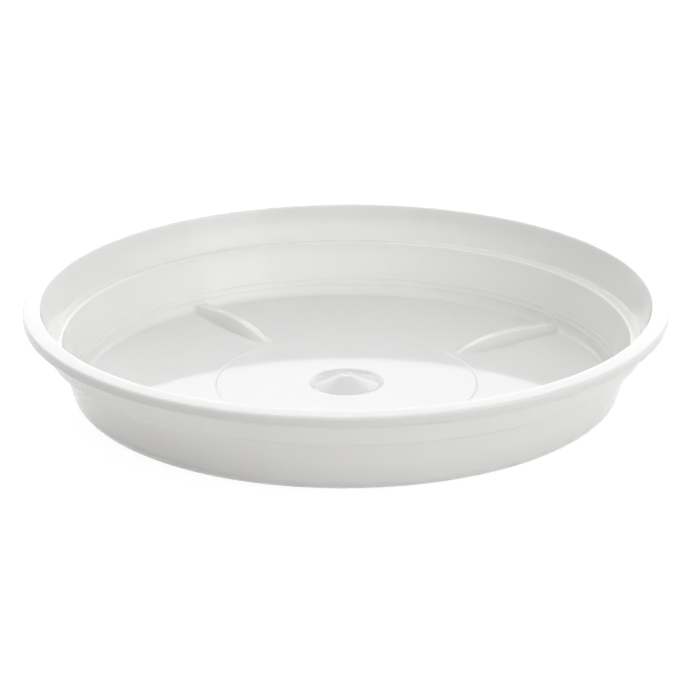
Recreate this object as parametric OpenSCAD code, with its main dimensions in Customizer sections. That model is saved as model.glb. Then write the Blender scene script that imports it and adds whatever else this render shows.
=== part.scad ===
// Plant saucer: a round drip tray, moulded in one piece.
// The body is one profile turned about the Z axis, with radial ribs raised from its floor.
// Lengths are millimetres, +Z is up, and the origin is the centre of the base.

/* [Overall] */
// Outer diameter across the rim
outer_d = 250; // [180:1:340]
// Height from the base to the inner edge of the rim
height = 36.9; // [32:0.1:60]
// Thickness of the wall
wall_t = 1.9; // [1.4:0.1:2.4]
// Thickness of the floor
floor_t = 1.8; // [1.6:0.1:2.6]

/* [Rim] */
// Width of the rim's top, from its inner to its outer edge
rim_w = 6.5; // [5.5:0.1:12]
// How much lower the outer edge of the rim lies than its inner edge
rim_fall = 0.75; // [0:0.05:1.5]
// Height of the lip that hangs from the rim's outer edge
lip_h = 4; // [3.2:0.1:8]
// Thickness of the rim's top and of its lip
rim_t = 1.7; // [1.2:0.1:2.2]
// Radius along the rim's inner edge
rim_inner_r = 0.7; // [0.2:0.1:1.2]
// Radius along the rim's outer edge
rim_outer_r = 1.1; // [0.2:0.1:1.6]

/* [Wall] */
// Depth of the ledge below the rim's inner edge
ledge_depth = 14.3; // [10:0.1:18]
// Width of the ledge
ledge_w = 4.1; // [3:0.1:8]
// Lean of the wall above the ledge, in degrees
upper_lean = 15.2; // [5:0.1:25]
// Lean of the inside of the wall below the ledge, in degrees
lower_lean = 17.3; // [10:0.1:22]
// Lean of the outside of the wall below the ledge, in degrees
outer_lean = 16.5; // [10:0.1:20]
// Radius of the soft edges along the ledge and the step outside
ledge_r = 1; // [0.3:0.1:1.4]
// Radius of the curve from the wall into the floor
corner_r = 2.9; // [1.5:0.1:4]
// Radius of the curve from the wall into the base
base_r = 5.8; // [2:0.1:8]

/* [Lines near the foot of the wall] */
// Height of the lower line's middle above the floor
line_z = 4.2; // [4:0.1:8]
// Distance from the lower line up to the upper one
line_gap = 2.3; // [1.6:0.1:4]
// Height of each line
line_h = 1.2; // [0.6:0.1:1.4]
// How far the lines stand proud of the wall
line_t = 0.2; // [0.1:0.05:0.4]

/* [Ribs] */
// Number of ribs on the floor
rib_count = 4; // [3:1:8]
// Height of the ribs above the floor, at their highest
rib_h = 3.9; // [2.5:0.1:6]
// Height of the ribs where they reach the wall
rib_end_h = 2.4; // [1.5:0.1:2.5]
// Width of the ribs at the floor, without their foot curves
rib_w = 9.4; // [6:0.1:12]
// Half the width of the ribs' tops, and the radius along their edges
rib_top_r = 1.5; // [0.8:0.1:2]
// Radius of the curve at the foot of the ribs
rib_foot_r = 1; // [0.3:0.1:1.4]
// Distance from the saucer's centre to the ribs' inner ends
rib_start = 53.3; // [30:0.1:70]
// Radius of the curves where a rib meets the wall
rib_flare = 2; // [0.5:0.1:3]

/* [Floor ring] */
// Radius of the fine ring line on the floor
ring_r = 51.2; // [25:0.1:70]
// Width of the ring line
ring_w = 0.9; // [0.4:0.1:2]
// Depth of the ring line
ring_depth = 0.3; // [0.1:0.05:0.5]

/* [Centre] */
// Radius of the recess at the centre
recess_r = 14.8; // [10:0.1:22]
// Depth of the recess below the floor
recess_depth = 0.7; // [0.3:0.1:0.9]
// Width of the recess's sloped edge
recess_edge = 1.8; // [1:0.1:3]
// Height of the cone's top above the floor
cone_h = 3.2; // [1.5:0.1:6]
// Radius of the gate mark on the cone's top
gate_r = 1.6; // [1:0.1:2.5]
// Depth of the gate mark
gate_depth = 0.3; // [0.1:0.05:0.5]

/* [Hidden] */

// Turn of round corners between two points, on the body and on the ribs
arc_step = 12;
rib_arc_step = 25;
$fn = 180;

// Heights of the rim, the ledge and the lines
rim_z = height;
rim_edge_z = height - rim_fall;
lip_z = rim_edge_z - lip_h;
ledge_z = height - ledge_depth;
line_zs = [floor_t + line_z, floor_t + line_z + line_gap];

// Radii of the mouth, the ledge's two edges and the wall where it would meet the floor
rim_r = outer_d / 2;
mouth_r = rim_r - rim_w;
ledge_outer_r = mouth_r - ledge_depth * tan(upper_lean);
ledge_inner_r = ledge_outer_r - ledge_w;
foot_r = ledge_inner_r - (ledge_z - floor_t) * tan(lower_lean);

// Thickness of the wall measured level, above and below the ledge
upper_t = wall_t / cos(upper_lean);
lower_t = wall_t / cos(lower_lean);

// The outer step's corner lies this share of the wall's thickness below the ledge
step_share = 0.3;
step_z = ledge_z - wall_t * step_share;
shoulder_z = ledge_z - wall_t;

// Radii where the rim turns, as a share of its thickness, and the height under its top
lip_share = 0.45;
lip_round = rim_t * lip_share;
under_rim_z = rim_edge_z - rim_t;

// The cone: its foot and its flat top round the gate mark, as a share of the mark
gate_rim_share = 1.35;
cone_foot_r = recess_r - recess_edge;
cone_top_r = gate_r * gate_rim_share;
cone_slope = (cone_h + recess_depth) / (cone_foot_r - cone_top_r);

// Its underside follows it, with a skin that is a share of the floor's thickness
skin_share = 0.9;
cone_skin = floor_t * skin_share;
dimple_top_z = floor_t + cone_h - cone_skin;
dimple_r = cone_foot_r - (cone_skin - floor_t + recess_depth) / cone_slope;

// Longest part of a line that a round corner may take up, in general and at the wall's foot
reach_share = 0.48;
foot_reach_share = 0.85;

// Radius of the inside of the wall at height z, below the ledge, and outside it
function wall_inside(z) = foot_r + (z - floor_t) * tan(lower_lean);
function wall_outside(z) = wall_inside(shoulder_z) + lower_t - (shoulder_z - z) * tan(outer_lean);
// The same above the ledge
function upper_inside(z) = mouth_r - (rim_z - z) * tan(upper_lean);
function upper_outside(z) = upper_inside(z) + upper_t;

// Points of the arc that rounds corner b, between its neighbours a and c, no larger than they allow
function unit(v) = v / norm(v);
function rounding(a, b, c, r, step, share) =
    let (
        u = unit(a - b),
        v = unit(c - b),
        half = acos(min(1, max(-1, u * v))) / 2,
        reach = min(r / tan(half), norm(a - b) * share, norm(c - b) * share),
        radius = reach * tan(half),
        centre = b + unit(u + v) * radius / sin(half),
        from = b + u * reach - centre,
        to = b + v * reach - centre,
        start = atan2(from.y, from.x),
        turn = (atan2(to.y, to.x) - start + 540) % 360 - 180,
        steps = max(1, ceil(abs(turn) / step))
    )
    [for (i = [0:steps]) centre + radius * [cos(start + turn * i / steps), sin(start + turn * i / steps)]];

// An open outline from corners [r, z, radius, share of a line]; its two ends stay sharp
function rounded(corners, step = arc_step) = [
    for (i = [0:len(corners) - 1])
        let (
            here = [corners[i].x, corners[i].y],
            last = corners[max(i - 1, 0)],
            next = corners[min(i + 1, len(corners) - 1)],
            inner = i > 0 && i < len(corners) - 1 && corners[i][2] > 0,
            share = len(corners[i]) > 3 ? corners[i][3] : reach_share
        )
        each (inner ? rounding([last.x, last.y], here, [next.x, next.y], corners[i][2], step, share) : [here])
];

// Top of the centre, from the axis out: gate mark, cone and recess
centre_top = [
    [0, floor_t + cone_h - gate_depth, 0],
    [gate_r - gate_depth, floor_t + cone_h - gate_depth, gate_depth],
    [gate_r, floor_t + cone_h, gate_depth],
    [cone_top_r, floor_t + cone_h, gate_r / 2],
    [cone_foot_r, floor_t - recess_depth, recess_edge / 4],
    [recess_r, floor_t, recess_edge / 2]
];

// Top of the floor, with its ring line, and the curve into the wall
floor_top = [
    [ring_r - ring_w / 2, floor_t, ring_w / 4],
    [ring_r, floor_t - ring_depth, ring_w / 4],
    [ring_r + ring_w / 2, floor_t, ring_w / 4],
    [foot_r, floor_t, corner_r, foot_reach_share]
];

// Inside of the wall, with its two raised lines and its ledge, up to the rim
wall_in = [
    for (z = line_zs)
        each [
            [wall_inside(z - line_h / 2), z - line_h / 2, line_t],
            [wall_inside(z) - line_t, z, line_h / 4],
            [wall_inside(z + line_h / 2), z + line_h / 2, line_t]
        ],
    [ledge_inner_r, ledge_z, ledge_r],
    [ledge_outer_r, ledge_z, ledge_r]
];

// The rim: its top, its lip, and the groove between the lip and the wall
rim = [
    [mouth_r, rim_z, rim_inner_r],
    [rim_r, rim_edge_z, rim_outer_r],
    [rim_r, lip_z, lip_round],
    [rim_r - rim_t, lip_z, lip_round],
    [rim_r - rim_t, under_rim_z, lip_round],
    [upper_outside(under_rim_z), under_rim_z, lip_round]
];

// Outside of the wall, with its step, down to the base
wall_out = [
    [upper_outside(step_z), step_z, ledge_r],
    [wall_outside(shoulder_z), shoulder_z, ledge_r / 2],
    [wall_outside(0), 0, base_r]
];

// Underside, from the base in to the axis, with the dimple below the cone
underside = [
    [dimple_r, 0, recess_edge / 2],
    [cone_top_r, dimple_top_z, recess_edge / 2],
    [0, dimple_top_z, 0]
];

// The turned body
module bowl() {
    rotate_extrude()
        polygon(rounded(concat(centre_top, floor_top, wall_in, rim, wall_out, underside)));
}

// Half of a rib's section at its highest: curved foot, sloped side and soft top
rib_half = rib_w / 2;
rib_side = [
    [rib_half + 2 * rib_foot_r, 0, 0],
    [rib_half, 0, rib_foot_r],
    [rib_top_r, rib_h, rib_top_r],
    [0, rib_h, 0]
];
rib_curve = rounded(rib_side, rib_arc_step);
rib_last = len(rib_curve) - 1;
rib_sink = floor_t / 2;

// One section of a rib at distance x out, wider and lower by two factors, leaning by a tangent
// and let down by a drop, with its feet sunk into the floor
function rib_ring(x, wide, high, lean = 0, drop = 0) = [
    for (p = concat(
        [[rib_curve[1].x, -rib_sink / high]],
        [for (i = [1:rib_last]) rib_curve[i]],
        [for (i = [rib_last - 1:-1:1]) [-rib_curve[i].x, rib_curve[i].y]],
        [[-rib_curve[1].x, -rib_sink / high]]
    ))
        [x + p.y * high * lean, p.x * wide, p.y * high - drop]
];

// Shares of a rib's length: where it is highest, and where it has reached its full width
peak_share = 0.5;
plan_share = 0.3;
// Size of its first section, which lies inside the floor
tip_share = 0.3;

// Height at a share of the length: it rises like a disc's edge, then eases down to its end
rib_end_share = rib_end_h / rib_h;
function rib_rise(t) = t < peak_share
    ? 1 - pow(1 - t / peak_share, 2)
    : 1 - (1 - rib_end_share) * (1 - cos(180 * (t - peak_share) / (1 - peak_share))) / 2;
// Width at a share of the length: the tip is round
function rib_spread(t) = let (u = 1 - min(1, t / plan_share)) sqrt(1 - u * u);

// Sections along a rib, closer together at its tip
rib_length = foot_r - rib_flare - rib_start;
arch_steps = 12;
arch_rings = [
    rib_ring(rib_start, tip_share, tip_share * rib_sink / rib_h, 0, rib_sink / 2),
    for (i = [1:arch_steps - 1])
        let (t = pow(i / arch_steps, 1.4))
        rib_ring(rib_start + rib_length * t, rib_spread(t), rib_rise(t))
];

// Sections at the wall, leaning with it, where the rib flares; the last lies in the wall
flare_steps = 3;
flare_rings = [
    for (i = [0:flare_steps])
        let (
            a = 90 * i / flare_steps,
            gap = rib_flare * (1 - sin(a)),
            grow = rib_flare * (1 - cos(a))
        )
        rib_ring(foot_r - gap, 1 + grow / rib_half, (rib_end_h + grow) / rib_h, tan(lower_lean)),
    rib_ring(foot_r + lower_t / 2, 1 + rib_flare / rib_half, (rib_end_h + rib_flare) / rib_h, tan(lower_lean))
];

// A solid through rings of points that all have the same count
module loft(rings) {
    n = len(rings[0]);
    m = len(rings);
    polyhedron(
        [for (ring = rings) each ring],
        concat(
            [[for (k = [0:n - 1]) k]],
            [for (j = [0:m - 2]) for (k = [0:n - 1])
                let (a = j * n + k, b = j * n + (k + 1) % n)
                each [[a, a + n, b], [b, a + n, b + n]]],
            [[for (k = [n - 1:-1:0]) (m - 1) * n + k]]
        )
    );
}

module ribs() {
    for (i = [0:rib_count - 1])
        rotate([0, 0, 360 * i / rib_count])
            translate([0, 0, floor_t]) loft(concat(arch_rings, flare_rings));
}

module saucer() {
    color("white") {
        bowl();
        ribs();
    }
}

saucer();
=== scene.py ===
"""A plant saucer of glossy white plastic, dressed for its portrait.

It is one moulding: a spun dish with a turned-down rim, a ledge in its wall, two fine raised lines near
the wall's foot, four arched ribs, a ring line on the floor and a low cone with its gate mark. Sizes are
millimetres; meshes are in metres.
"""

import logging
import math
from collections.abc import Callable
from dataclasses import dataclass, field
from enum import Enum

import bmesh
import bpy
from mathutils import Matrix, Vector


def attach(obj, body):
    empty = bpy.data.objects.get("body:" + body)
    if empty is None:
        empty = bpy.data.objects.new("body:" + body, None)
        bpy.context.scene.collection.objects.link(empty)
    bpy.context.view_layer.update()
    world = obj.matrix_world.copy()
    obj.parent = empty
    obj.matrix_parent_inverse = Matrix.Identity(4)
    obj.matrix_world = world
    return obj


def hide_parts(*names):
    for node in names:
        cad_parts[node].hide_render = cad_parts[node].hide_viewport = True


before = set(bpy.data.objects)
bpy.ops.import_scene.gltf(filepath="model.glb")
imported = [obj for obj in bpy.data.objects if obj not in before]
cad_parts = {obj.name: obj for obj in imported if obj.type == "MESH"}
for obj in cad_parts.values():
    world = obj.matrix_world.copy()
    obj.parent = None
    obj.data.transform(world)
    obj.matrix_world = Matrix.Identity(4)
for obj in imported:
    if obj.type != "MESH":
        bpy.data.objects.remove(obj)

LOG = logging.getLogger("saucer")
MM = 0.001
# Points closer than this are one point
MERGE = 0.002 * MM
Point = tuple[float, float]
Corner = tuple[float, ...]
Colour = tuple[float, float, float]


class Element(Enum):
    """What a pick in edit mode takes."""

    EDGE = "EDGE"
    FACE = "FACE"


class Bench:
    """Modelling by hand: one active piece at a time, with everything else deselected."""

    @staticmethod
    def only(piece: bpy.types.Object) -> None:
        """Makes a piece the only one selected, and active."""
        bpy.ops.object.select_all(action="DESELECT")
        piece.select_set(True)
        bpy.context.view_layer.objects.active = piece

    @staticmethod
    def edit(piece: bpy.types.Object, element: Element) -> None:
        """Enters edit mode on a piece with nothing of it selected.

        Args:
            piece: the piece to edit.
            element: what later picks take.
        """
        Bench.only(piece)
        bpy.ops.object.mode_set(mode="EDIT")
        bpy.ops.mesh.select_mode(type=element.value)
        bpy.ops.mesh.select_all(action="DESELECT")

    @staticmethod
    def pick(piece: bpy.types.Object, element: Element, test: Callable[[Vector], bool]) -> None:
        """Selects, in edit mode, what has its middle where a test says.

        Args:
            piece: the piece in edit mode.
            element: edges or faces.
            test: takes the middle in metres and says whether it is wanted.
        """
        mesh = bmesh.from_edit_mesh(piece.data)
        for item in mesh.edges if element is Element.EDGE else mesh.faces:
            middle = sum((vertex.co for vertex in item.verts), Vector()) / len(item.verts)
            item.select_set(test(middle))
        mesh.select_flush_mode()
        bmesh.update_edit_mesh(piece.data)

    @staticmethod
    def leave(clean: bool = False) -> None:
        """Leaves edit mode.

        Args:
            clean: merges doubled points first and turns every face outwards.
        """
        if clean:
            bpy.ops.mesh.select_all(action="SELECT")
            bpy.ops.mesh.remove_doubles(threshold=MERGE)
            bpy.ops.mesh.normals_make_consistent(inside=False)
        bpy.ops.object.mode_set(mode="OBJECT")

    @staticmethod
    def modify(piece: bpy.types.Object, kind: str, **settings: object) -> None:
        """Adds a modifier to a piece and applies it.

        Args:
            piece: the piece to change.
            kind: the modifier's type.
            settings: its values by name.
        """
        Bench.only(piece)
        modifier = piece.modifiers.new(kind.title(), kind)
        for name, value in settings.items():
            setattr(modifier, name, value)
        bpy.ops.object.modifier_apply(modifier=modifier.name)


class Outline:
    """Turns a list of corners into a smooth outline."""

    # Longest part of a side that a corner's arc may take up, where the corner doesn't say
    SHARE = 0.48

    @staticmethod
    def rounding(
        before: Vector, corner: Vector, after: Vector, radius: float, step: float, share: float
    ) -> list[Point]:
        """Works out the arc that rounds one corner.

        Args:
            before: the corner before it.
            corner: the corner itself.
            after: the corner after it.
            radius: the radius wanted, used as far as the sides allow.
            step: the largest turn between two points, in degrees.
            share: the longest part of a side that the arc may take up.

        Returns:
            The arc's points.
        """
        one, two = (before - corner), (after - corner)
        longest = share * min(one.length, two.length)
        one.normalize()
        two.normalize()
        half = math.acos(max(-1.0, min(1.0, one.dot(two)))) / 2
        reach = min(radius / math.tan(half), longest)
        true_radius = reach * math.tan(half)
        centre = corner + (one + two).normalized() * true_radius / math.sin(half)
        start, end = corner + one * reach - centre, corner + two * reach - centre
        first = math.atan2(start.y, start.x)
        turn = (math.atan2(end.y, end.x) - first + 3 * math.pi) % math.tau - math.pi
        count = max(2, math.ceil(abs(turn) / math.radians(step)))
        angles = [first + turn * i / count for i in range(count + 1)]
        return [(centre.x + true_radius * math.cos(a), centre.y + true_radius * math.sin(a)) for a in angles]

    @staticmethod
    def rounded(corners: list[Corner], step: float) -> list[Point]:
        """Rounds every inner corner of an open outline.

        Args:
            corners: across, up and radius of each corner, and the share of a side that it may take where that
                is not the usual one.
            step: the largest turn between two points, in degrees.

        Returns:
            The outline's points; its two ends stay sharp.
        """
        points: list[Point] = []
        for i, (across, up, radius, *share) in enumerate(corners):
            if 0 < i < len(corners) - 1 and radius > 0:
                before, after = Vector(corners[i - 1][:2]), Vector(corners[i + 1][:2])
                reach = share[0] if share else Outline.SHARE
                points += Outline.rounding(before, Vector((across, up)), after, radius, step, reach)
            else:
                points.append((across, up))
        return points

    @staticmethod
    def steadied(points: list[Point], gap: float) -> list[Point]:
        """Adds a point close to each end of every long side, so that smooth shading keeps it straight.

        Args:
            points: an outline.
            gap: the distance from a side's end, in millimetres.

        Returns:
            The outline with the added points.
        """
        out = [points[0]]
        for a, b in zip(points, points[1:]):
            start, end = Vector(a), Vector(b)
            length = (end - start).length
            if length > 4 * gap:
                for share in (gap / length, 1 - gap / length):
                    out.append(tuple(start.lerp(end, share)))
            out.append(b)
        return out


@dataclass
class DishSizes:
    """Sizes of the spun dish, in millimetres and degrees, and shares of its wall and its sides."""

    rim_r: float = 125.0
    height: float = 36.9
    wall: float = 1.9
    floor: float = 1.8
    rim_w: float = 6.5
    rim_fall: float = 0.75
    lip: float = 4.0
    rim: float = 1.7
    rim_inner_round: float = 0.7
    rim_outer_round: float = 1.1
    lip_round: float = 0.765
    ledge_depth: float = 14.3
    ledge_w: float = 4.1
    upper_lean: float = 15.2
    lower_lean: float = 17.3
    outer_lean: float = 16.5
    ledge_round: float = 1.0
    corner_round: float = 2.9
    base_round: float = 5.8
    line_z: float = 4.2
    line_gap: float = 2.3
    line_h: float = 1.2
    line: float = 0.2
    ring_r: float = 51.2
    ring_w: float = 0.9
    ring_depth: float = 0.16
    recess_r: float = 14.8
    recess_depth: float = 0.7
    recess_edge: float = 1.8
    cone_h: float = 3.2
    cone_skin: float = 1.62
    gate_r: float = 1.6
    gate_rim: float = 2.16
    gate_depth: float = 0.3
    step_share: float = 0.3
    foot_share: float = 0.85
    arc_step: float = 10.0
    steady_gap: float = 0.25

    @property
    def ledge_z(self) -> float:
        """Height of the ledge."""
        return self.height - self.ledge_depth

    @property
    def foot_r(self) -> float:
        """Radius where the lower wall would meet the floor."""
        mouth = self.rim_r - self.rim_w
        ledge = mouth - self.ledge_depth * math.tan(math.radians(self.upper_lean)) - self.ledge_w
        return ledge - (self.ledge_z - self.floor) * math.tan(math.radians(self.lower_lean))

    def inside(self, z: float) -> float:
        """Radius of the lower wall's inside at a height."""
        return self.foot_r + (z - self.floor) * math.tan(math.radians(self.lower_lean))

    def outside(self, z: float) -> float:
        """Radius of the lower wall's outside at a height."""
        shoulder = self.ledge_z - self.wall
        level = self.wall / math.cos(math.radians(self.lower_lean))
        return self.inside(shoulder) + level - (shoulder - z) * math.tan(math.radians(self.outer_lean))

    def upper(self, z: float, outer: bool) -> float:
        """Radius of the wall above the ledge.

        Args:
            z: the height.
            outer: True for the outside.

        Returns:
            The radius there.
        """
        lean = math.radians(self.upper_lean)
        level = self.wall / math.cos(lean) if outer else 0.0
        return self.rim_r - self.rim_w - (self.height - z) * math.tan(lean) + level

    def centre_corners(self) -> list[Corner]:
        """Corners of the gate mark, the cone and the recess, from the axis out."""
        top = self.floor + self.cone_h
        low = self.floor - self.recess_depth
        return [
            (0.0, top - self.gate_depth, 0.0),
            (self.gate_r - self.gate_depth, top - self.gate_depth, self.gate_depth),
            (self.gate_r, top, self.gate_depth),
            (self.gate_rim, top, self.gate_r / 2),
            (self.recess_r - self.recess_edge, low, self.recess_edge / 4),
            (self.recess_r, self.floor, self.recess_edge / 2),
        ]

    def inner_corners(self) -> list[Corner]:
        """Corners of the floor, its ring line, the wall's inside, its two lines and its ledge."""
        corners: list[Corner] = [
            (self.ring_r - self.ring_w / 2, self.floor, self.ring_w / 4),
            (self.ring_r, self.floor - self.ring_depth, self.ring_w / 4),
            (self.ring_r + self.ring_w / 2, self.floor, self.ring_w / 4),
            (self.foot_r, self.floor, self.corner_round, self.foot_share),
        ]
        for middle in (self.floor + self.line_z, self.floor + self.line_z + self.line_gap):
            low, top = middle - self.line_h / 2, middle + self.line_h / 2
            corners += [
                (self.inside(low), low, self.line),
                (self.inside(middle) - self.line, middle, self.line_h / 4),
                (self.inside(top), top, self.line),
            ]
        corners += [
            (self.inside(self.ledge_z), self.ledge_z, self.ledge_round),
            (self.upper(self.ledge_z, False), self.ledge_z, self.ledge_round),
        ]
        return corners

    def rim_corners(self) -> list[Corner]:
        """Corners of the rim, its lip and the groove between the lip and the wall."""
        edge = self.height - self.rim_fall
        under = edge - self.rim
        return [
            (self.rim_r - self.rim_w, self.height, self.rim_inner_round),
            (self.rim_r, edge, self.rim_outer_round),
            (self.rim_r, edge - self.lip, self.lip_round),
            (self.rim_r - self.rim, edge - self.lip, self.lip_round),
            (self.rim_r - self.rim, under, self.lip_round),
            (self.upper(under, True), under, self.lip_round),
        ]

    def outer_corners(self) -> list[Corner]:
        """Corners of the outside, its step, the base and the hollow under the cone."""
        step = self.ledge_z - self.step_share * self.wall
        shoulder = self.ledge_z - self.wall
        foot = self.recess_r - self.recess_edge
        slope = (self.cone_h + self.recess_depth) / (foot - self.gate_rim)
        hollow = foot - (self.cone_skin - self.floor + self.recess_depth) / slope
        top = self.floor + self.cone_h - self.cone_skin
        return [
            (self.upper(step, True), step, self.ledge_round),
            (self.outside(shoulder), shoulder, self.ledge_round / 2),
            (self.outside(0.0), 0.0, self.base_round),
            (hollow, 0.0, self.recess_edge / 2),
            (self.gate_rim, top, self.recess_edge / 2),
            (0.0, top, 0.0),
        ]

    def profile(self) -> list[Point]:
        """Outline of half the section, from the top of the cone round to its underside."""
        corners = self.centre_corners() + self.inner_corners() + self.rim_corners() + self.outer_corners()
        return Outline.steadied(Outline.rounded(corners, self.arc_step), self.steady_gap)


@dataclass
class RibSizes:
    """Sizes of the ribs in millimetres, the shares of a rib's length at which it changes, and its steps."""

    count: int = 4
    height: float = 3.9
    end_height: float = 2.4
    width: float = 9.4
    top_round: float = 1.5
    foot_round: float = 1.0
    start: float = 53.3
    flare: float = 2.0
    peak_share: float = 0.5
    plan_share: float = 0.3
    sink: float = 0.4
    arc_step: float = 8.0
    flare_steps: int = 6
    arch_steps: int = 28
    crowding: float = 1.5
    end_share: float = 0.2

    def section(self) -> list[Point]:
        """Outline of the section, from one foot over the top to the other, sunk at both ends."""
        half = self.width / 2
        corners = [
            (half + 2 * self.foot_round, 0.0, 0.0),
            (half, 0.0, self.foot_round),
            (self.top_round, self.height, self.top_round),
            (0.0, self.height, 0.0),
        ]
        side = Outline.rounded(corners, self.arc_step)[1:]
        foot = side[0][0]
        return [(foot, -self.sink)] + side + [(-x, z) for x, z in side[-2::-1]] + [(-foot, -self.sink)]

    def spread(self, share: float) -> float:
        """Width at a share of the length, as a factor: the tip is round."""
        u = 1 - min(1.0, share / self.plan_share)
        return math.sqrt(1 - u * u)

    def rise(self, share: float) -> float:
        """Height at a share of the length, as a factor: it rises in an arch, then eases down to its end."""
        if share < self.peak_share:
            return 1 - (1 - share / self.peak_share) ** 2
        ease = (1 - math.cos(math.pi * (share - self.peak_share) / (1 - self.peak_share))) / 2
        return 1 - (1 - self.end_height / self.height) * ease

    def stations(self, wall: float, lean: float) -> list[tuple[float, float, float, float]]:
        """Lists the sections from the wall in to the tip.

        Args:
            wall: radius at which the wall would meet the floor.
            lean: the wall's lean in radians.

        Returns:
            Distance out, width factor, height factor and lean of each section.
        """
        half = self.width / 2
        out = []
        for i in range(self.flare_steps, -1, -1):
            angle = math.radians(90 * i / self.flare_steps)
            grow = self.flare * (1 - math.cos(angle))
            place = wall - self.flare * (1 - math.sin(angle))
            out.append((place, 1 + grow / half, (self.end_height + grow) / self.height, lean))
        length = wall - self.flare - self.start
        for i in range(self.arch_steps - 1, 0, -1):
            share = (i / self.arch_steps) ** self.crowding
            out.append((self.start + length * share, self.spread(share), self.rise(share), 0.0))
        return out


@dataclass(frozen=True)
class GlossyPlastic:
    """Finish of the moulding: white polypropylene with a polished skin."""

    colour: Colour = (0.845, 0.842, 0.831)
    shade: Colour = (0.805, 0.802, 0.791)
    roughness: float = 0.06
    ior: float = 1.49
    mottle: float = 0.35
    cloud_scale: float = 22.0
    flow_scale: float = 9.0
    polish_scale: float = 60.0
    polish_swing: float = 0.03
    skin_scale: float = 35.0
    waviness: float = 0.00001
    depth: Colour = (1.0, 0.98, 0.95)
    depth_scale: float = 0.0035


@dataclass(frozen=True)
class FloorPaint:
    """Finish of the studio floor: white, kept white to the camera but for the saucer's soft shadow."""

    colour: Colour = (0.86, 0.86, 0.86)
    lift: float = 0.86
    glow: float = 1.10


class Wire:
    """A shader socket on which Python's arithmetic adds Math nodes."""

    def __init__(self, rack: "Rack", socket: bpy.types.NodeSocket) -> None:
        """Wraps a socket of a rack's tree."""
        self.rack, self.socket = rack, socket

    def _math(self, operation: str, *values: "Wire | float") -> "Wire":
        """Adds one Math node and returns its result."""
        return self.rack.node("ShaderNodeMath", {"operation": operation}, dict(enumerate(values)))

    def __add__(self, other: "Wire | float") -> "Wire":
        """Sum."""
        return self._math("ADD", self, other)

    def __radd__(self, other: float) -> "Wire":
        """Sum, reflected."""
        return self._math("ADD", other, self)

    def __sub__(self, other: "Wire | float") -> "Wire":
        """Difference."""
        return self._math("SUBTRACT", self, other)

    def __rsub__(self, other: float) -> "Wire":
        """Difference, reflected."""
        return self._math("SUBTRACT", other, self)

    def __mul__(self, other: "Wire | float") -> "Wire":
        """Product."""
        return self._math("MULTIPLY", self, other)

    def __rmul__(self, other: float) -> "Wire":
        """Product, reflected."""
        return self._math("MULTIPLY", other, self)

    def out(self, name: str) -> "Wire":
        """Another output of the same node."""
        return Wire(self.rack, self.socket.node.outputs[name])

    def clamped(self) -> "Wire":
        """The value held between 0 and 1."""
        return self._math("MINIMUM", self._math("MAXIMUM", self, 0.0), 1.0)


class Rack:
    """The node tree of a material or a world, filled one node at a time."""

    def __init__(self, owner: bpy.types.Material | bpy.types.World) -> None:
        """Empties the owner's tree."""
        owner.use_nodes = True
        self.owner, self.tree = owner, owner.node_tree
        self.tree.nodes.clear()

    def node(
        self,
        kind: str,
        settings: dict[str, object] | None = None,
        inputs: dict[int | str, object] | None = None,
        output: int | str = 0,
    ) -> Wire:
        """Adds a node.

        Args:
            kind: the node's type.
            settings: its own properties, set first.
            inputs: values, colours or wires by socket name or number.
            output: the socket to return.

        Returns:
            That output as a wire.
        """
        made = self.tree.nodes.new(kind)
        for name, value in (settings or {}).items():
            setattr(made, name, value)
        for key, value in (inputs or {}).items():
            if isinstance(value, Wire):
                self.tree.links.new(value.socket, made.inputs[key])
            elif isinstance(value, tuple) and len(value) == 3 and made.inputs[key].type == "RGBA":
                made.inputs[key].default_value = (*value, 1.0)
            else:
                made.inputs[key].default_value = value
        return Wire(self, made.outputs[output]) if made.outputs else Wire(self, None)

    def seen(self) -> Wire:
        """1 for rays of the camera, of reflections and through clear matter, and 0 for those of light."""
        path = self.node("ShaderNodeLightPath", output="Is Camera Ray")
        return (path + path.out("Is Glossy Ray") + path.out("Is Transmission Ray")).clamped()


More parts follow.
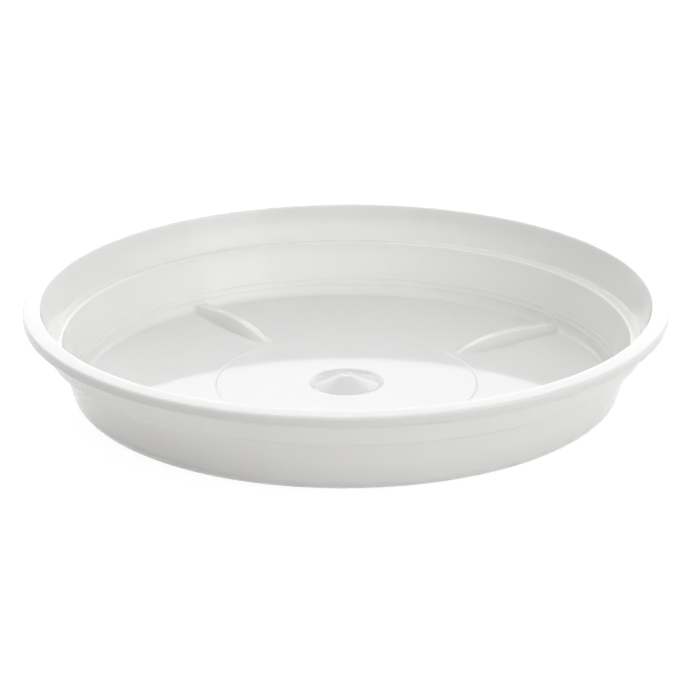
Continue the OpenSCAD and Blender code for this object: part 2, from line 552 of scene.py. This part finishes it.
class PlasticShader:
    """Builds the moulding's material from its finish."""

    def __init__(self, finish: GlossyPlastic) -> None:
        """Keeps the finish."""
        self.finish = finish

    @staticmethod
    def noise(rack: Rack, place: Wire, scale: float, detail: float) -> Wire:
        """Adds a noise pattern.

        Args:
            rack: the material's rack.
            place: where the pattern is read.
            scale: how fine it is.
            detail: how many finer layers it has.

        Returns:
            The pattern's value, about 0.5 in the middle.
        """
        return rack.node("ShaderNodeTexNoise", {}, {"Vector": place, "Scale": scale, "Detail": detail}, "Fac")

    def build(self) -> bpy.types.Material:
        """Builds the node tree: faint mottle, streaks of flow from the gate, polish marks and a wavy skin.

        Returns:
            The finished material.
        """
        look = self.finish
        rack = Rack(bpy.data.materials.new("white_polypropylene"))
        place = rack.node("ShaderNodeTexCoord", output="Object")
        cloud = self.noise(rack, place, look.cloud_scale, 3.0)
        polar = rack.node("ShaderNodeVectorMath", {"operation": "NORMALIZE"}, {0: place})
        flow = self.noise(rack, polar, look.flow_scale, 4.0)
        amount = (cloud * look.mottle + flow * look.mottle).clamped()
        colour = rack.node(
            "ShaderNodeMix",
            {"data_type": "RGBA"},
            {0: amount, 6: look.colour, 7: look.shade},
            2,
        )
        polish = self.noise(rack, place, look.polish_scale, 5.0)
        rough = look.roughness + (polish - 0.5) * look.polish_swing
        skin = self.noise(rack, place, look.skin_scale, 1.0)
        bump = rack.node(
            "ShaderNodeBump",
            {},
            {"Strength": 1.0, "Distance": look.waviness, "Height": skin},
        )
        shader = rack.node(
            "ShaderNodeBsdfPrincipled",
            {},
            {
                "Base Color": colour,
                "Roughness": rough,
                "Normal": bump,
                "IOR": look.ior,
                "Subsurface Weight": 1.0,
                "Subsurface Radius": look.depth,
                "Subsurface Scale": look.depth_scale,
            },
        )
        rack.node("ShaderNodeOutputMaterial", {}, {"Surface": shader})
        return rack.owner


class FloorShader:
    """Builds the studio floor's material."""

    def __init__(self, paint: FloorPaint) -> None:
        """Keeps the paint."""
        self.paint = paint

    def build(self) -> bpy.types.Material:
        """Builds a white floor: lit by the lamps, lifted to white for the camera, and open from below.

        Returns:
            The finished material.
        """
        rack = Rack(bpy.data.materials.new("floor_paint"))
        matt = rack.node("ShaderNodeBsdfDiffuse", {}, {"Color": self.paint.colour})
        glow = rack.node("ShaderNodeEmission", {}, {"Color": (1.0, 1.0, 1.0), "Strength": self.paint.glow})
        top = rack.node("ShaderNodeMixShader", {}, {0: rack.seen() * self.paint.lift, 1: matt, 2: glow})
        below = rack.node("ShaderNodeNewGeometry", output="Backfacing")
        clear = rack.node("ShaderNodeBsdfTransparent")
        both = rack.node("ShaderNodeMixShader", {}, {0: below, 1: top, 2: clear})
        rack.node("ShaderNodeOutputMaterial", {}, {"Surface": both})
        return rack.owner


@dataclass
class Saucer:
    """The saucer: one moulding, spun and ribbed."""

    dish: DishSizes = field(default_factory=DishSizes)
    rib: RibSizes = field(default_factory=RibSizes)
    finish: GlossyPlastic = field(default_factory=GlossyPlastic)
    spin_steps: int = 256
    crease: float = 34.0

    def spin_dish(self) -> bpy.types.Object:
        """Spins the dish from its profile.

        Returns:
            The closed dish.
        """
        points = self.dish.profile()
        bpy.ops.object.select_all(action="DESELECT")
        bpy.ops.mesh.primitive_circle_add(
            vertices=len(points), radius=self.dish.rim_r * MM, fill_type="NOTHING"
        )
        dish = bpy.context.object
        for vertex, (r, z) in zip(dish.data.vertices, points):
            vertex.co = (r * MM, 0.0, z * MM)
        Bench.edit(dish, Element.EDGE)
        # The circle's closing edge lies on the axis, and isn't part of the outline
        Bench.pick(dish, Element.EDGE, lambda middle: middle.x < MERGE / 2)
        bpy.ops.mesh.delete(type="EDGE")
        bpy.ops.mesh.select_all(action="SELECT")
        bpy.ops.mesh.spin(steps=self.spin_steps, angle=math.tau, center=(0, 0, 0), axis=(0, 0, 1))
        Bench.leave(clean=True)
        return dish

    def draw_rib(self) -> bpy.types.Object:
        """Draws one rib from the wall inwards by extruding its section, which leans at the wall.

        Returns:
            The closed rib, along +X.
        """
        size = self.rib
        section = size.section()
        level = self.dish.floor
        lean = math.radians(self.dish.lower_lean)
        half = size.width / 2
        # The first section lies in the wall, short of the outside's curve into the base
        end = self.dish.foot_r + self.dish.wall * size.end_share
        was = (end, 1 + size.flare / half, 1 + size.flare / size.height, lean)
        bpy.ops.object.select_all(action="DESELECT")
        bpy.ops.mesh.primitive_circle_add(vertices=len(section), radius=size.width * MM, fill_type="NGON")
        rib = bpy.context.object
        for vertex, (y, z) in zip(rib.data.vertices, section):
            up = z * was[2]
            vertex.co = ((was[0] + up * math.tan(lean)) * MM, y * was[1] * MM, (level + up) * MM)
        Bench.edit(rib, Element.FACE)
        Bench.pick(rib, Element.FACE, lambda middle: True)
        for now in size.stations(self.dish.foot_r, lean):
            bpy.ops.mesh.extrude_region_move(
                TRANSFORM_OT_translate={"value": ((now[0] - was[0]) * MM, 0.0, 0.0), "orient_type": "GLOBAL"}
            )
            pivot = (now[0] * MM, 0.0, level * MM)
            if now[3] != was[3]:
                # The leaning section is stood upright, then brought back to its height
                bpy.ops.transform.rotate(
                    value=was[3] - now[3], orient_axis="Y", orient_type="GLOBAL", center_override=pivot
                )
                bpy.ops.transform.resize(value=(1.0, 1.0, math.cos(was[3])), center_override=pivot)
            bpy.ops.transform.resize(value=(1.0, now[1] / was[1], now[2] / was[2]), center_override=pivot)
            was = now
        # The tip's last section lies inside the floor
        bpy.ops.mesh.extrude_region_move(
            TRANSFORM_OT_translate={"value": ((size.start - was[0]) * MM, 0.0, -size.sink * MM / 2)}
        )
        Bench.leave(clean=True)
        return rib

    def join_ribs(self, dish: bpy.types.Object, rib: bpy.types.Object) -> None:
        """Copies the rib round the floor and unites each copy with the dish.

        Args:
            dish: the dish, which gets the ribs.
            rib: the first rib, which is used up.
        """
        ribs = [rib]
        for i in range(1, self.rib.count):
            Bench.only(rib)
            bpy.ops.object.duplicate(linked=False)
            copy = bpy.context.object
            bpy.ops.transform.rotate(
                value=math.tau * i / self.rib.count, orient_axis="Z", center_override=(0.0, 0.0, 0.0)
            )
            bpy.ops.object.transform_apply(location=True, rotation=True, scale=True)
            ribs.append(copy)
        for one in ribs:
            Bench.modify(dish, "BOOLEAN", operation="UNION", solver="EXACT", object=one)
            Bench.only(one)
            bpy.ops.object.delete()

    def build(self) -> bpy.types.Object:
        """Builds and dresses the moulding.

        Returns:
            The finished piece.
        """
        dish = self.spin_dish()
        LOG.info("dish spun: %d faces", len(dish.data.polygons))
        rib = self.draw_rib()
        LOG.info("rib drawn: %d faces", len(rib.data.polygons))
        self.join_ribs(dish, rib)
        Bench.only(dish)
        bpy.ops.object.shade_smooth_by_angle(angle=math.radians(self.crease))
        Bench.modify(dish, "WEIGHTED_NORMAL", mode="FACE_AREA", keep_sharp=True)
        dish.name = dish.data.name = "moulded_saucer"
        dish.data.materials.clear()
        dish.data.materials.append(PlasticShader(self.finish).build())
        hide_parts("saucer")
        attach(dish, "root")
        LOG.info("moulding finished: %d faces", len(dish.data.polygons))
        return dish


@dataclass(frozen=True)
class Softbox:
    """One area lamp, placed round the saucer as seen from the camera."""

    name: str
    azimuth: float
    elevation: float
    distance: float
    width: float
    height: float
    radiance: float
    mirrored: bool = True
    colour: Colour = (1.0, 1.0, 1.0)

    def place(self, turn: float, aim: Vector) -> bpy.types.Object:
        """Adds the lamp.

        Args:
            turn: how far the camera's side is turned from -Y, in degrees.
            aim: the point that the lamp faces.

        Returns:
            The lamp.
        """
        a, e = math.radians(self.azimuth + turn), math.radians(self.elevation)
        away = Vector((math.cos(a) * math.cos(e), math.sin(a) * math.cos(e), math.sin(e)))
        data = bpy.data.lights.new(self.name, "AREA")
        data.shape = "RECTANGLE"
        data.size, data.size_y = self.width, self.height
        data.energy = self.radiance * math.pi * self.width * self.height
        data.color = self.colour
        lamp = bpy.data.objects.new(self.name, data)
        bpy.context.scene.collection.objects.link(lamp)
        lamp.location = aim + away * self.distance
        lamp.rotation_mode = "QUATERNION"
        lamp.rotation_quaternion = away.to_track_quat("Z", "Y")
        lamp.visible_camera = False
        lamp.visible_glossy = self.mirrored
        return lamp


@dataclass
class Portrait:
    """The camera of the photograph, fitted to the rim, the ledge and the floor's circles."""

    turn: float = -35.4
    lens: float = 159.1
    sensor: float = 36.0
    reach: tuple[float, float] = (0.01, 50.0)
    distance: float = 1.191
    elevation: float = 19.48
    yaw: float = -0.015
    pitch: float = -0.893
    roll: float = 0.29
    aim: Vector = field(default_factory=lambda: Vector((0.0, 0.0, 0.03615)))

    def place(self) -> bpy.types.Object:
        """Adds the camera and makes it the scene's own.

        Returns:
            The camera.
        """
        e = math.radians(self.elevation)
        away = Vector((0.0, -math.cos(e), math.sin(e)))
        ahead, right = -away, Vector((1.0, 0.0, 0.0))
        up = right.cross(ahead)
        spin = Matrix.Rotation(math.radians(self.yaw), 3, up)
        ahead, right = spin @ ahead, spin @ right
        tip = Matrix.Rotation(math.radians(self.pitch), 3, right)
        ahead, up = tip @ ahead, tip @ up
        lean = Matrix.Rotation(math.radians(self.roll), 3, ahead)
        right, up = lean @ right, lean @ up
        axes = Matrix((right, up, -ahead)).transposed().to_4x4()
        axes.translation = away * self.distance
        data = bpy.data.cameras.new("portrait")
        data.lens, data.sensor_width = self.lens, self.sensor
        data.clip_start, data.clip_end = self.reach
        camera = bpy.data.objects.new("portrait", data)
        bpy.context.scene.collection.objects.link(camera)
        camera.matrix_world = (
            Matrix.Translation(self.aim) @ Matrix.Rotation(math.radians(self.turn), 4, "Z") @ axes
        )
        bpy.context.scene.camera = camera
        return camera


@dataclass
class Studio:
    """White floor, white surround and soft lamps."""

    portrait: Portrait = field(default_factory=Portrait)
    paint: FloorPaint = field(default_factory=FloorPaint)
    floor_size: float = 12.0
    floor_gap: float = 0.00005
    ambient: float = 0.20
    aim: float = 0.02
    # Azimuth, elevation, distance, width, height and radiance
    boxes: tuple[Softbox, ...] = (
        Softbox("back_panel", 90.0, 23.0, 3.0, 5.0, 2.7, 0.82, colour=(0.96, 0.98, 1.0)),
        Softbox("low_back_fill", 90.0, 20.0, 2.2, 2.5, 1.2, 2.45, mirrored=False),
        Softbox("overhead_fill", 90.0, 85.0, 2.2, 3.0, 3.0, 0.88, mirrored=False),
        Softbox("back_left_fill", 140.0, 35.0, 2.2, 2.0, 2.0, 0.55, mirrored=False),
        Softbox("front_right_box", -40.0, 28.0, 2.2, 1.2, 1.6, 0.8),
        Softbox("front_right_fill", -45.0, 35.0, 2.2, 2.0, 2.0, 1.1, mirrored=False),
    )

    def lay_floor(self) -> bpy.types.Object:
        """Lays the floor just under the saucer.

        Returns:
            The floor.
        """
        bpy.ops.object.select_all(action="DESELECT")
        bpy.ops.mesh.primitive_plane_add(size=self.floor_size, location=(0.0, 0.0, -self.floor_gap))
        floor = bpy.context.object
        Bench.edit(floor, Element.FACE)
        Bench.pick(floor, Element.FACE, lambda middle: True)
        bpy.ops.mesh.subdivide(number_cuts=3)
        Bench.leave()
        floor.name = "studio_floor"
        floor.data.materials.append(FloorShader(self.paint).build())
        return floor

    def light_world(self) -> bpy.types.World:
        """Makes the surround: white to the camera and in reflections, and faint as a light.

        Returns:
            The world.
        """
        rack = Rack(bpy.data.worlds.new("white_room"))
        soft = rack.node("ShaderNodeBackground", {}, {"Color": (1.0, 1.0, 1.0), "Strength": self.ambient})
        white = rack.node("ShaderNodeBackground", {}, {"Color": (1.0, 1.0, 1.0), "Strength": 1.0})
        both = rack.node("ShaderNodeMixShader", {}, {0: rack.seen(), 1: soft, 2: white})
        rack.node("ShaderNodeOutputWorld", {}, {"Surface": both})
        bpy.context.scene.world = rack.owner
        return rack.owner

    def build(self) -> None:
        """Lays the floor, lights it and places the camera."""
        self.lay_floor()
        self.light_world()
        for box in self.boxes:
            box.place(self.portrait.turn, Vector((0.0, 0.0, self.aim)))
            LOG.info("lamp placed: %s", box.name)
        self.portrait.place()
        bpy.context.scene.view_settings.view_transform = "Standard"


def main() -> None:
    """Builds the saucer and its studio."""
    logging.basicConfig(level=logging.INFO, format="%(name)s: %(message)s")
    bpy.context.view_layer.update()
    Saucer().build()
    Studio().build()


if __name__ == "__main__":
    main()
